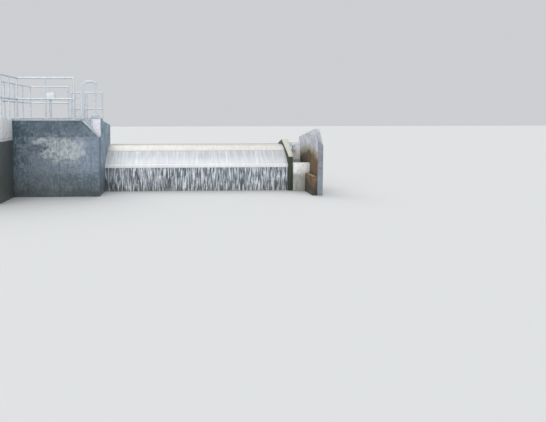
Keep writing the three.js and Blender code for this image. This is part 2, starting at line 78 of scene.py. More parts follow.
DIVIDER_LEAN = 0.0784
LIP_BACK = -0.99
PLINTH_TOP = 2.1
BAY_LEVEL = 0.774
CHAMBER_LEVEL = 0.65
RAIL_TUBE = 0.024
RAIL_TOP = 1.076
RAIL_MIDDLE = 0.52


# Working with one piece at a time


def clear_selection():
    if bpy.context.object and bpy.context.object.mode != "OBJECT":
        bpy.ops.object.mode_set(mode="OBJECT")
    bpy.ops.object.select_all(action="DESELECT")


def hold(piece):
    """Makes one piece the only selected one, and the active one."""
    clear_selection()
    piece.select_set(True)
    bpy.context.view_layer.objects.active = piece


def settle(name, turn=None, size=None):
    """Names the newest primitive and puts its place, turn and size into its mesh."""
    piece = bpy.context.active_object
    piece.name = name
    piece.data.name = name
    if turn is not None:
        piece.rotation_euler = turn
    if size is not None:
        piece.scale = size
    bpy.ops.object.transform_apply(location=True, rotation=True, scale=True)
    return piece


def new_object(name, data):
    made = bpy.data.objects.new(name, data)
    bpy.context.scene.collection.objects.link(made)
    return made


def start_block(name, low, high):
    """A block between two opposite corners, ready to be shaped."""
    clear_selection()
    middle = (Vector(low) + Vector(high)) / 2
    bpy.ops.mesh.primitive_cube_add(size=1, location=middle)
    return settle(name, size=Vector(high) - Vector(low))


def start_rod(name, start, end, radius, sides=24):
    """A round or many-sided rod between two points."""
    clear_selection()
    line = Vector(end) - Vector(start)
    middle = (Vector(start) + Vector(end)) / 2
    bpy.ops.mesh.primitive_cylinder_add(vertices=sides, radius=radius, depth=line.length, location=middle)
    return settle(name, turn=line.to_track_quat("Z", "Y").to_euler())


def start_ball(name, centre, radius, rings=10):
    clear_selection()
    bpy.ops.mesh.primitive_uv_sphere_add(segments=rings * 2, ring_count=rings, radius=radius, location=centre)
    return settle(name)


def edit(piece, kind="FACE", picked="DESELECT"):
    hold(piece)
    bpy.ops.object.mode_set(mode="EDIT")
    bpy.ops.mesh.select_mode(type=kind)
    bpy.ops.mesh.select_all(action=picked)


def leave_edit():
    bpy.ops.object.mode_set(mode="OBJECT")


def face_outwards():
    """Points all faces outwards and leaves edit mode."""
    bpy.ops.mesh.select_all(action="SELECT")
    bpy.ops.mesh.normals_make_consistent(inside=False)
    leave_edit()


def pick_faces(piece, test):
    """Selects the faces whose middle and normal pass the test."""
    shape = bmesh.from_edit_mesh(piece.data)
    shape.normal_update()
    for face in shape.faces:
        face.select_set(test(face.calc_center_median(), face.normal))
    bmesh.update_edit_mesh(piece.data)


def inset_and_push(piece, test, margin, depth):
    """Insets the picked faces and pushes them along their normals."""
    edit(piece)
    pick_faces(piece, test)
    bpy.ops.mesh.inset(thickness=margin, depth=depth)
    leave_edit()


def cut_away(piece, point, normal):
    """Cuts a piece with a plane, drops what lies on the normal's side and closes the cut."""
    edit(piece, picked="SELECT")
    bpy.ops.mesh.bisect(plane_co=point, plane_no=normal, use_fill=True, clear_outer=True)
    leave_edit()


def apply_modifier(piece, kind, **values):
    hold(piece)
    modifier = piece.modifiers.new(kind.title(), kind)
    for key, value in values.items():
        setattr(modifier, key, value)
    bpy.ops.object.modifier_apply(modifier=modifier.name)


def soften(piece, width, steps=2, angle=30):
    """Rounds the edges that are sharper than the angle."""
    apply_modifier(
        piece, "BEVEL", width=width, segments=steps, limit_method="ANGLE", angle_limit=math.radians(angle)
    )
    return piece


def repeat(piece, count, step):
    """Lines up copies of a piece at a constant step."""
    apply_modifier(
        piece,
        "ARRAY",
        count=count,
        use_relative_offset=False,
        use_constant_offset=True,
        constant_offset_displace=step,
    )
    return piece


def carve(piece, tool):
    """Takes the tool's shape out of the piece and drops the tool."""
    apply_modifier(piece, "BOOLEAN", object=tool, operation="DIFFERENCE", solver="EXACT")
    bpy.data.objects.remove(tool)
    return piece


def unite(name, parts):
    """Joins parts into one piece."""
    clear_selection()
    for part in parts:
        part.select_set(True)
    bpy.context.view_layer.objects.active = parts[0]
    if len(parts) > 1:
        bpy.ops.object.join()
    parts[0].name = name
    parts[0].data.name = name
    return parts[0]


def copied(piece, name, place):
    """A copy of a piece with its own mesh, put in place by a matrix."""
    mesh = piece.data.copy()
    mesh.transform(place)
    return new_object(name, mesh)


def copied_node(node, name):
    """A merged copy of a CAD node, with flat faces in one piece."""
    piece = new_object(name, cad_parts[node].data.copy())
    hold(piece)
    bpy.ops.mesh.customdata_custom_splitnormals_clear()
    edit(piece, "VERT", "SELECT")
    bpy.ops.mesh.remove_doubles(threshold=0.00002)
    bpy.ops.mesh.dissolve_limited(angle_limit=math.radians(0.4))
    leave_edit()
    return piece


def finish_piece(piece, finish, slot, *nodes, angle=30):
    """Smooths a piece, gives it its material, hangs it on the root body and hides the CAD nodes it stands
    for.
    """
    hold(piece)
    bpy.ops.object.shade_smooth_by_angle(angle=math.radians(angle))
    piece.data.materials.clear()
    piece.data.materials.append(finish)
    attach(piece, "root")
    if nodes:
        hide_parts(*nodes)
    return piece


def bent_tube(name, start, heading, radius, moves, sides=20):
    """A tube drawn out of a disc. A move is a straight run, or a turn about a centre and an axis."""
    clear_selection()
    turn = Vector(heading).to_track_quat("Z", "Y").to_euler()
    bpy.ops.mesh.primitive_circle_add(
        vertices=sides, radius=radius, fill_type="NGON", location=start, rotation=turn
    )
    piece = settle(name)
    edit(piece, picked="SELECT")
    for kind, value in moves:
        if kind == "run":
            bpy.ops.mesh.extrude_region_move(TRANSFORM_OT_translate={"value": value})
        else:
            centre, axis, degrees = value
            bpy.ops.mesh.spin(steps=8, angle=-math.radians(degrees), center=centre, axis=axis)
    face_outwards()
    return piece


def bolts(spots, axis=(0, 0, 1), across=0.012, head=0.008):
    """Hexagon bolt heads with washers, standing on their spots and pointing along the axis."""
    washer = soften(start_rod("washer", (0, 0, 0), (0, 0, 0.003), across * 1.5, 16), 0.001, 1)
    hexagon = soften(start_rod("bolt_head", (0, 0, 0.003), (0, 0, 0.003 + head), across, 6), 0.0015, 1)
    model = unite("bolt", [washer, hexagon])
    turn = Vector(axis).to_track_quat("Z", "Y").to_matrix().to_4x4()
    heads = [copied(model, "bolt", Matrix.Translation(spot) @ turn) for spot in spots]
    bpy.data.objects.remove(model)
    return heads


# Node wiring


def tone(red, green, blue):
    """A colour given as an eye reads it, 0 to 255, turned into the light it sends back."""
    parts = []
    for part in (red, green, blue):
        share = part / 255
        parts.append(share / 12.92 if share <= 0.04045 else ((share + 0.055) / 1.055) ** 2.4)
    return (*parts, 1.0)


class Wiring:
    """Adds nodes to one tree. A value may be a number, a colour, a vector or another node's output."""

    def __init__(self, tree):
        self.tree = tree

    def join(self, value, socket):
        if isinstance(value, bpy.types.NodeSocket):
            self.tree.links.new(value, socket)
        else:
            socket.default_value = value

    def add(self, kind, values, **settings):
        node = self.tree.nodes.new(kind)
        for name, value in settings.items():
            setattr(node, name, value)
        for key, value in values.items():
            self.join(value, node.inputs[key])
        return node

    def maths(self, operation, first, second=0.0, clamp=False):
        node = self.add("ShaderNodeMath", {0: first, 1: second}, operation=operation, use_clamp=clamp)
        return node.outputs[0]

    def plus(self, first, second):
        return self.maths("ADD", first, second)

    def minus(self, first, second):
        return self.maths("SUBTRACT", first, second)

    def times(self, first, second):
        return self.maths("MULTIPLY", first, second)

    def divided(self, first, second):
        return self.maths("DIVIDE", first, second)

    def vectors(self, operation, first, second=(0, 0, 0)):
        node = self.add("ShaderNodeVectorMath", {0: first, 1: second}, operation=operation)
        return node.outputs["Value" if operation in ("LENGTH", "DOT_PRODUCT") else "Vector"]

    def parts(self, vector):
        return self.add("ShaderNodeSeparateXYZ", {0: vector}).outputs

    def whole(self, x, y, z):
        return self.add("ShaderNodeCombineXYZ", {0: x, 1: y, 2: z}).outputs[0]

    def remap(self, value, low, high, to_low=0.0, to_high=1.0):
        values = {"Value": value, "From Min": low, "From Max": high, "To Min": to_low, "To Max": to_high}
        return self.add("ShaderNodeMapRange", values, interpolation_type="SMOOTHSTEP").outputs[0]

    def noise(self, vector, scale, detail=4.0, roughness=0.55, output=0):
        values = {"Vector": vector, "Scale": scale, "Detail": detail, "Roughness": roughness}
        return self.add("ShaderNodeTexNoise", values).outputs[output]

    def blend(self, mask, first, second, kind="MIX"):
        values = {0: mask, 6: first, 7: second}
        return self.add("ShaderNodeMix", values, data_type="RGBA", blend_type=kind).outputs[2]

    def scaled(self, mask, amount):
        return self.maths("MULTIPLY", mask, amount, clamp=True)


def effect_group(name, outputs, **inputs):
    """A shader node group that reads a Vector and the named inputs, and the means to wire its inside."""
    tree = bpy.data.node_groups.new(name, "ShaderNodeTree")
    for label, value in {"Vector": (0, 0, 0), **inputs}.items():
        kind = "NodeSocketVector" if isinstance(value, tuple) else "NodeSocketFloat"
        socket = tree.interface.new_socket(name=label, in_out="INPUT", socket_type=kind)
        socket.default_value = value
    for label in outputs:
        tree.interface.new_socket(name=label, in_out="OUTPUT", socket_type="NodeSocketFloat")
    entry = tree.nodes.new("NodeGroupInput").outputs
    result = tree.nodes.new("NodeGroupOutput").inputs
    return tree, Wiring(tree), entry["Vector"], entry, result


def make_concrete_grain():
    """Clouds, mottling and small air holes of cast concrete."""
    tree, wire, spot, entry, result = effect_group(
        "concrete_grain", ("Cloud", "Mottle", "Height"), Blotch=0.6, Holes=1.0
    )
    size = wire.divided(1.0, entry["Blotch"])
    cloud = wire.noise(spot, size, 5.0, 0.6)
    wire.join(wire.remap(cloud, 0.36, 0.64), result["Cloud"])
    mottle = wire.noise(spot, 14.0, 8.0, 0.7)
    wire.join(wire.remap(mottle, 0.3, 0.7), result["Mottle"])
    fine = wire.noise(spot, 120.0, 4.0, 0.6)
    cells = wire.add("ShaderNodeTexVoronoi", {"Vector": spot, "Scale": 38.0}).outputs["Distance"]
    hole = wire.times(wire.remap(cells, 0.05, 0.14, 1.0, 0.0), entry["Holes"])
    rough = wire.plus(wire.times(mottle, 0.7), wire.times(fine, 0.3))
    wire.join(wire.minus(rough, hole), result["Height"])
    return tree


def make_runs():
    """Streaks that water has left down a face."""
    tree, wire, spot, entry, result = effect_group(
        "vertical_runs", ["Mask"], Width=0.05, Length=0.8, Amount=0.5
    )
    x, y, z = wire.parts(spot)
    stretched = wire.whole(
        wire.divided(x, entry["Width"]),
        wire.divided(y, entry["Width"]),
        wire.divided(z, entry["Length"]),
    )
    drawn = wire.noise(stretched, 1.0, 4.0, 0.6)
    start = wire.minus(0.72, wire.times(entry["Amount"], 0.4))
    wire.join(wire.remap(drawn, start, wire.plus(start, 0.16)), result["Mask"])
    return tree


def make_below_level():
    """Everything under a height, with a ragged edge."""
    tree, wire, spot, entry, result = effect_group(
        "below_level", ["Mask"], Level=0.5, Softness=0.05, Raggedness=0.1
    )
    drift = wire.minus(wire.noise(spot, 4.0, 5.0, 0.65), 0.5)
    height = wire.plus(wire.parts(spot)[2], wire.times(drift, entry["Raggedness"]))
    low = wire.minus(entry["Level"], entry["Softness"])
    high = wire.plus(entry["Level"], entry["Softness"])
    wire.join(wire.remap(height, low, high, 1.0, 0.0), result["Mask"])
    return tree


def make_patch():
    """A worn patch with a ragged edge about a centre."""
    tree, wire, spot, entry, result = effect_group(
        "ragged_patch", ["Mask"], Centre=(0, 0, 0), Size=(1, 1, 1), Softness=0.4, Raggedness=2.4
    )
    apart = wire.vectors("DIVIDE", wire.vectors("SUBTRACT", spot, entry["Centre"]), entry["Size"])
    drift = wire.vectors("SUBTRACT", wire.noise(spot, 7.0, 5.0, 0.6, output=1), (0.5, 0.5, 0.5))
    scale = wire.whole(entry["Raggedness"], entry["Raggedness"], entry["Raggedness"])
    far = wire.vectors("LENGTH", wire.vectors("ADD", apart, wire.vectors("MULTIPLY", drift, scale)))
    low = wire.minus(1.0, entry["Softness"])
    high = wire.plus(1.0, entry["Softness"])
    x, y, z = wire.parts(spot)
    drawn = wire.whole(wire.times(x, 2.2), wire.times(y, 2.2), z)
    worn = wire.remap(wire.noise(drawn, 9.0, 7.0, 0.7), 0.34, 0.6, 0.3, 1.0)
    wire.join(wire.times(wire.remap(far, low, high, 1.0, 0.0), worn), result["Mask"])
    return tree


def make_spangle():
    """The crystal pattern of hot-dip zinc."""
    tree, wire, spot, entry, result = effect_group(
        "zinc_spangle", ("Tone", "Height"), Size=0.02
    )
    scale = wire.divided(1.0, entry["Size"])
    cells = wire.add("ShaderNodeTexVoronoi", {"Vector": spot, "Scale": scale})
    crystal = wire.parts(cells.outputs["Color"])[0]
    cloud = wire.noise(spot, 9.0, 5.0, 0.6)
    mixed = wire.plus(wire.times(crystal, 0.45), wire.times(cloud, 0.55))
    wire.join(mixed, result["Tone"])
    wire.join(wire.noise(spot, 60.0, 3.0), result["Height"])
    return tree


def make_formwork():
    """Joint lines and small differences of tone that formwork panels leave on upright faces."""
    tree, wire, spot, entry, result = effect_group(
        "formwork_marks", ("Line", "Tone"), Normal=(0, 0, 0), Start=(0, 0, 0), Width=0.8, Lift=0.93
    )
    x, y, z = wire.parts(wire.vectors("SUBTRACT", spot, entry["Start"]))
    sideways, _, upwards = wire.parts(wire.vectors("ABSOLUTE", entry["Normal"]))
    side_on = wire.maths("GREATER_THAN", sideways, 0.7)
    upright = wire.maths("LESS_THAN", upwards, 0.5)
    run = wire.plus(wire.times(wire.minus(y, x), side_on), x)
    panel = wire.divided(run, entry["Width"])
    lift = wire.divided(z, entry["Lift"])
    lines = []
    for steps, size in ((panel, entry["Width"]), (lift, entry["Lift"])):
        apart = wire.times(wire.maths("PINGPONG", steps, 0.5), size)
        lines.append(wire.remap(apart, 0.002, 0.009, 1.0, 0.0))
    line = wire.maths("MAXIMUM", *lines)
    wire.join(wire.times(line, upright), result["Line"])
    cell = wire.whole(wire.maths("FLOOR", panel), wire.maths("FLOOR", lift), side_on)
    chance = wire.add("ShaderNodeTexWhiteNoise", {"Vector": cell}, noise_dimensions="3D").outputs["Value"]
    wire.join(wire.times(chance, upright), result["Tone"])
    return tree


EFFECTS = {
    "grain": make_concrete_grain(),
    "runs": make_runs(),
    "below": make_below_level(),
    "patch": make_patch(),
    "formwork": make_formwork(),
    "spangle": make_spangle(),
}


class Finish(Wiring):
    """One material while its nodes are laid out."""

    def __init__(self, name, metallic=0.0, roughness=0.8):
        self.material = bpy.data.materials.new(name)
        self.material.use_nodes = True
        super().__init__(self.material.node_tree)
        self.shader = self.tree.nodes["Principled BSDF"]
        self.shader.inputs["Metallic"].default_value = metallic
        self.shader.inputs["Roughness"].default_value = roughness
        self.spot = self.tree.nodes.new("ShaderNodeTexCoord").outputs["Object"]

    def effect(self, name, **values):
        node = self.tree.nodes.new("ShaderNodeGroup")
        node.node_tree = EFFECTS[name]
        self.join(self.spot, node.inputs["Vector"])
        for label, value in values.items():
            self.join(value, node.inputs[label])
        return node.outputs

    def mask(self, name, **values):
        return self.effect(name, **values)["Mask"]

    def normal(self):
        return self.tree.nodes.new("ShaderNodeNewGeometry").outputs["Normal"]

    def facing(self, direction, low=0.76, high=0.92):
        """The faces that look in a direction."""
        return self.remap(self.vectors("DOT_PRODUCT", self.normal(), direction), low, high)

    def speckled(self, colour, mottle, low=0.87, high=1.07):
        """The colour made a little lighter and darker by the mottling."""
        tone_step = self.remap(mottle, 0.0, 1.0, low, high)
        return self.blend(1.0, colour, self.whole(tone_step, tone_step, tone_step), "MULTIPLY")

    def coat(self, colour, mask, strength, shade):
        """The colour with a shade laid over it where the mask is."""
        return self.blend(self.scaled(mask, strength), colour, shade)

    def bump(self, height, distance):
        node = self.add("ShaderNodeBump", {"Height": height, "Distance": distance, "Strength": 1.0})
        self.join(node.outputs[0], self.shader.inputs["Normal"])

    def end(self, colour, roughness=None):
        self.join(colour, self.shader.inputs["Base Color"])
        if roughness is not None:
            self.join(roughness, self.shader.inputs["Roughness"])
        return self.material


# Materials


def concrete_finish(
    name,
    light,
    dark,
    blotch=0.6,
    pale_runs=None,
    dark_runs=None,
    patches=(),
    faces=(),
    bands=(),
    damp=None,
    marks=None,
    mottling=(0.87, 1.07),
    relief=0.004,
):
    """Weathered concrete.

    pale_runs and dark_runs are (colour, width, length, amount, strength); patches are (centre, size,
    colour, strength); faces are (direction, colour, strength); bands are (level, softness, raggedness,
    colour, strength); damp is (level, softness, colour, raggedness, strength); marks are the (start,
    panel width, lift height) of the formwork; mottling is how dark and how light the small mottles are.
    """
    made = Finish(name, roughness=0.82)
    grain = made.effect("grain", Blotch=blotch)
    colour = made.blend(grain["Cloud"], dark, light)
    for level, softness, ragged, shade, strength in bands:
        mask = made.mask("below", Level=level, Softness=softness, Raggedness=ragged)
        colour = made.coat(colour, mask, strength, shade)
    lean = made.maths("ABSOLUTE", made.parts(made.normal())[2])
    upright = made.remap(lean, 0.5, 0.8, 1.0, 0.0)
    for runs in (pale_runs, dark_runs):
        if runs:
            shade, width, length, amount, strength = runs
            mask = made.mask("runs", Width=width, Length=length, Amount=amount)
            drawn = made.times(mask, upright)
            colour = made.coat(colour, drawn, strength, shade)
    for direction, shade, strength in faces:
        colour = made.coat(colour, made.facing(direction), strength, shade)
    for centre, size, shade, strength in patches:
        mask = made.mask("patch", Centre=centre, Size=size)
        colour = made.coat(colour, mask, strength, shade)
    height = grain["Height"]
    if marks:
        start, width, lift = marks
        form = made.effect("formwork", Normal=made.normal(), Start=start, Width=width, Lift=lift)
        colour = made.coat(colour, form["Tone"], 0.35, dark)
        colour = made.coat(colour, form["Line"], 0.4, JOINT_SHADE)
        height = made.minus(height, form["Line"])
    roughness = 0.82
    if damp:
        level, softness, shade, ragged, strength = damp
        wet = made.mask("below", Level=level, Softness=softness, Raggedness=ragged)
        colour = made.coat(colour, wet, strength, shade)
        roughness = made.remap(wet, 0.0, 1.0, 0.82, 0.4)
    made.bump(height, relief)
    return made.end(made.speckled(colour, grain["Mottle"], *mottling), roughness)


ALGAE = tone(52, 64, 40)
# Painted light: a paler colour laid on faces that look upwards, for the light that falls on tops
PAINTED_TOP_LIGHT = tone(216, 219, 219)
LIME_SMEAR = tone(192, 198, 204)
BROWN = tone(74, 55, 38)
JOINT_SHADE = tone(62, 72, 80)
FIRST_JOINT = -3.11
PANEL_WIDTH = 0.8
LIFT_LINES = (0.6, 1.53)
LIFT_HEIGHT = LIFT_LINES[1] - LIFT_LINES[0]
TIE_HEIGHTS = (0.3, 0.87, 1.2)
FORMWORK = ((FIRST_JOINT, 0, LIFT_LINES[1]), PANEL_WIDTH, LIFT_HEIGHT)


def front_spread(x, z, wide, high):
    """The centre and size of a patch on the front wall."""
    return (x, FRONT_FACE, z), (wide, 0.5, high)


# Blue-grey above the lift line, paler and streaked below it, darker left of the first joint
FRONT_WALL = concrete_finish(
    "front wall concrete",
    tone(114, 128, 139),
    tone(78, 93, 104),
    blotch=0.3,
    bands=((LIFT_LINES[1], 0.035, 0.06, tone(128, 139, 150), 0.7),),
    pale_runs=(tone(176, 186, 194), 0.03, 0.45, 0.3, 0.55),
    dark_runs=(tone(64, 78, 90), 0.045, 0.6, 0.35, 0.6),
    # Painted light on the top faces and on the sloping face that looks up and to the right
    faces=(((0, -0.2, 1), PAINTED_TOP_LIGHT, 0.95), ((0.7, 0, 0.7), PAINTED_TOP_LIGHT, 0.9)),
    patches=(
        (*front_spread(-1.6, 1.15, 0.42, 0.5), tone(146, 160, 178), 0.7),
        (*front_spread(-2.2, 1.22, 0.5, 0.3), tone(194, 201, 200), 0.82),
        (*front_spread(-2.86, 1.4, 0.13, 0.045), LIME_SMEAR, 0.8),
        (*front_spread(-2.72, 1.47, 0.12, 0.045), LIME_SMEAR, 0.8),
        (*front_spread(-2.86, 1.25, 0.2, 0.1), tone(66, 72, 90), 0.75),
        (*front_spread(-4.0, 1.4, 0.88, 1.2), tone(44, 76, 86), 0.85),
        (*front_spread(-2.2, 0.3, 2.6, 0.28), ALGAE, 0.5),
    ),
    marks=FORMWORK,
    damp=(0.22, 0.08, tone(66, 74, 74), 0.5, 0.7),
    mottling=(0.78, 1.14),
)

# Blue-grey along the channel, dark near its end, which is pale and pinkish
SIDE_WALL = concrete_finish(
    "side wall concrete",
    tone(162, 182, 197),
    tone(130, 151, 164),
    blotch=0.4,
    pale_runs=(tone(194, 204, 212), 0.035, 0.6, 0.3, 0.55),
    dark_runs=(tone(84, 98, 106), 0.045, 0.8, 0.3, 0.5),
    # Painted light on the top faces
    faces=(((0, 0, 1), PAINTED_TOP_LIGHT, 0.9), ((0, -1, 0), tone(232, 229, 238), 0.95)),
    patches=(
        ((CHANNEL_LEFT, -1.66, 1.5), (0.1, 0.07, 0.6), tone(88, 104, 118), 0.7),
        ((CHANNEL_LEFT, -1.25, 1.66), (0.1, 0.1, 0.08), tone(72, 96, 62), 0.8),
    ),
    marks=FORMWORK,
    damp=(0.8, 0.08, tone(80, 90, 94), 0.5, 0.7),
)

# Pale blue-grey
PIER = concrete_finish(
    "corner pier concrete",
    tone(206, 222, 235),
    tone(172, 190, 206),
    blotch=0.3,
    pale_runs=(tone(226, 234, 240), 0.03, 0.5, 0.3, 0.5),
    dark_runs=(tone(124, 140, 152), 0.04, 0.6, 0.3, 0.5),
)

# Plain grey with dark runs
OUTER_WALL = concrete_finish(
    "outer wall concrete",
    tone(176, 184, 190),
    tone(134, 144, 152),
    pale_runs=(tone(204, 208, 210), 0.05, 0.6, 0.3, 0.5),
    dark_runs=(tone(98, 104, 104), 0.06, 1.0, 0.35, 0.6),
    # Painted light on the top faces
    faces=(((0, 0, 1), PAINTED_TOP_LIGHT, 0.8),),
    marks=FORMWORK,
    damp=(0.25, 0.08, tone(84, 88, 76), 0.5, 0.7),
)

# Near white above, with painted light on its tops and on the face that looks to the right; darker and
# glossier below the slab
LANDING = concrete_finish(
    "landing concrete",
    tone(212, 218, 223),
    tone(184, 192, 198),
    blotch=0.4,
    dark_runs=(tone(164, 172, 178), 0.05, 0.7, 0.3, 0.5),
    # Painted light on the top faces, and painted light on the face that looks to the right, beside the front
    # wall
    faces=(((0, 0, 1), PAINTED_TOP_LIGHT, 0.9), ((1, 0, 0), tone(252, 252, 254), 0.85)),
    marks=FORMWORK,
    # Darker and glossier below the slab's underside
    damp=(1.47, 0.02, tone(34, 44, 36), 0.07, 0.9),
)

# Wet and dark with pale streaks
WET_WALL = concrete_finish(
    "wet wall concrete",
    tone(128, 136, 146),
    tone(82, 90, 98),
    blotch=0.3,
    pale_runs=(tone(236, 240, 243), 0.028, 0.32, 0.66, 0.9),
    dark_runs=(tone(50, 56, 62), 0.035, 0.4, 0.42, 0.8),
    bands=((0.12, 0.05, 0.2, tone(92, 96, 92), 0.6),),
    relief=0.006,
)

# Grey with painted light on its tops, and green and dark low down
UPSTREAM_WALL = concrete_finish(
    "upstream wall concrete",
    tone(152, 158, 156),
    tone(110, 118, 116),
    blotch=0.5,
    dark_runs=(tone(78, 84, 76), 0.06, 0.6, 0.4, 0.6),
    # Painted light on the top faces
    faces=(((0, 0, 1), tone(176, 178, 170), 0.8),),
    bands=((1.12, 0.05, 0.15, tone(98, 104, 84), 0.6),),
    marks=FORMWORK,
    damp=(0.4, 0.08, tone(62, 66, 52), 0.4, 0.7),
)

# Painted light on its sloping top, green at its nose, and painted shade on its left face beside the screens
DIVIDER = concrete_finish(
    "divider concrete",
    tone(168, 170, 160),
    tone(120, 122, 110),
    blotch=0.25,
    dark_runs=(tone(60, 62, 52), 0.04, 0.5, 0.4, 0.6),
    faces=(
        # Painted light on the sloping top faces
        ((0, -0.38, 0.92), tone(200, 201, 190), 0.9),
        # Painted shade on the left face, beside the screens
        ((-1, 0, 0), tone(50, 54, 50), 0.85),
        ((0, -1, 0), ALGAE, 0.95),
    ),
    damp=(0.55, 0.08, tone(44, 48, 38), 0.4, 0.8),
)

# Near white, with a rust mark under the orifice
BAY = concrete_finish(
    "compensation bay concrete",
    tone(252, 252, 249),
    tone(228, 229, 226),
    blotch=0.2,
    pale_runs=(tone(240, 242, 244), 0.03, 0.3, 0.45, 0.6),
    dark_runs=(tone(104, 110, 120), 0.035, 0.35, 0.35, 0.5),
    patches=(((4.135, 0, 0.985), (0.07, 0.2, 0.05), tone(232, 170, 118), 0.9),),
    # Painted light on the top faces
    faces=(((0, 0, 1), PAINTED_TOP_LIGHT, 0.8),),
    bands=((0.5, 0.1, 0.3, tone(120, 120, 108), 0.7),),
)


def make_right_wall_finish():
    """Pale above, with painted light on its tops and painted shade on its downstream end face. A brown stain
    with an olive edge spreads down the channel face.
    """
    made = Finish("right wall concrete", roughness=0.82)
    grain = made.effect("grain", Blotch=0.4)
    colour = made.blend(grain["Cloud"], tone(182, 184, 192), tone(212, 213, 219))
    pale = made.mask("runs", Width=0.03, Length=0.5, Amount=0.35)
    colour = made.coat(colour, pale, 0.5, tone(232, 232, 238))
    # Painted shade on the end face that looks downstream
    colour = made.coat(colour, made.facing((0, -1, 0.15), 0.6, 0.9), 0.9, tone(128, 137, 148))
    joints = {"Start": (0, -1.08, LIFT_LINES[1]), "Width": PANEL_WIDTH, "Lift": LIFT_HEIGHT}
    form = made.effect("formwork", Normal=made.normal(), **joints)
    colour = made.coat(colour, form["Line"], 0.2, JOINT_SHADE)
    channel_side = made.facing((-1, 0, 0), 0.5, 0.8)
    _, y, z = made.parts(made.spot)
    drift = made.minus(made.noise(made.spot, 4.0, 6.0, 0.65), 0.5)
    apart = made.maths("ABSOLUTE", made.plus(y, 0.98))
    edge = made.minus(1.25, made.times(apart, 0.25))
    edge = made.plus(edge, made.times(drift, 0.35))
    depth = made.minus(edge, z)
    halo = made.times(made.remap(depth, -0.14, 0.04), channel_side)
    colour = made.coat(colour, halo, 0.7, tone(156, 147, 112))
    runs = made.mask("runs", Width=0.05, Length=0.45, Amount=0.55)
    stained = made.coat(tone(86, 70, 54), runs, 0.7, tone(128, 106, 84))
    core = made.times(made.remap(depth, 0.02, 0.18), channel_side)
    colour = made.coat(colour, core, 0.9, stained)
    rust = made.mask("patch", Centre=(BAY_RIGHT, -1.62, 0.85), Size=(0.2, 0.3, 0.4))
    colour = made.coat(colour, rust, 0.55, tone(132, 92, 54))
    low = made.mask("below", Level=0.5, Softness=0.1, Raggedness=0.2)
    colour = made.coat(colour, made.times(low, channel_side), 0.8, BROWN)
    # Painted light on the top faces
    colour = made.coat(colour, made.facing((0, 0, 1)), 0.8, PAINTED_TOP_LIGHT)
    made.bump(made.minus(grain["Height"], form["Line"]), 0.004)
    return made.end(made.speckled(colour, grain["Mottle"]), made.remap(low, 0.0, 1.0, 0.82, 0.45))


# Brown and damp, with painted light on its top faces
FOOTING = concrete_finish(
    "footing concrete",
    tone(124, 102, 76),
    tone(88, 68, 48),
    blotch=0.2,
    pale_runs=(tone(158, 126, 88), 0.03, 0.3, 0.35, 0.6),
    dark_runs=(tone(58, 46, 34), 0.04, 0.4, 0.45, 0.7),
    # Painted light on the top faces
    faces=(((0, 0, 1), tone(158, 144, 120), 0.6),),
    damp=(0.25, 0.08, tone(52, 50, 40), 0.2, 0.8),
)


def make_crest_finish():
    """Smooth stainless plate with faint lime runs."""
    made = Finish("crest steel", metallic=0.4, roughness=0.45)
    x, y, z = made.parts(made.spot)
    along = made.whole(made.times(x, 22.0), made.times(y, 2.0), z)
    film = made.noise(along, 1.0, 5.0, 0.6)
    cloud = made.noise(made.spot, 3.0, 5.0)
    colour = made.blend(made.remap(film, 0.35, 0.7), tone(194, 191, 186), tone(212, 208, 202))
    colour = made.blend(made.remap(cloud, 0.5, 0.8, 0.0, 0.5), colour, tone(176, 175, 171))
    made.bump(film, 0.0006)
    return made.end(colour, made.remap(film, 0.3, 0.7, 0.4, 0.55))


def make_screen_finish():
    """Wedge wire under a thin lime film, in broad soft bands down the slope, with a painted shadow of the
    crest plate's edge along its top.
    """
    made = Finish("screen steel", metallic=0.4, roughness=0.5)
    x, y, z = made.parts(made.spot)
    along = made.whole(made.times(x, 14.0), made.times(y, 1.4), z)
    film = made.noise(along, 1.0, 5.0, 0.6)
    colour = made.blend(made.remap(film, 0.35, 0.65), tone(186, 191, 195), tone(216, 219, 221))
    broad = made.noise(made.spot, 1.3, 4.0, 0.55)
    colour = made.blend(made.remap(broad, 0.45, 0.7, 0.0, 0.5), colour, tone(170, 174, 180))
    slope_foot = SLOPE_TOP[1] - SCREEN_LENGTH * math.sin(SCREEN_SLOPE)
    pale_foot = made.remap(z, slope_foot, SLOPE_TOP[1] - 0.08, 0.55, 0.0)
    colour = made.blend(pale_foot, colour, tone(240, 242, 244))
    # Painted shadow of the crest plate's lower edge along the top of the screens
    painted_crest_shadow = made.remap(z, SLOPE_TOP[1] - 0.03, SLOPE_TOP[1] - 0.004, 0.0, 0.4)
    colour = made.blend(painted_crest_shadow, colour, tone(128, 130, 132))
    made.bump(film, 0.0006)
    return made.end(colour, made.remap(film, 0.3, 0.7, 0.42, 0.58))


def make_zinc_finish(name, light, dark, roughness=0.5):
    made = Finish(name, metallic=0.35, roughness=roughness)
    spangle = made.effect("spangle", Size=0.015)
    colour = made.blend(made.remap(spangle["Tone"], 0.25, 0.75), dark, light)
    grime = made.mask("runs", Width=0.03, Length=0.3, Amount=0.25)
    colour = made.coat(colour, grime, 0.35, tone(132, 136, 134))
    made.bump(spangle["Height"], 0.0005)
    return made.end(colour, made.remap(spangle["Tone"], 0.2, 0.8, roughness - 0.1, roughness + 0.15))


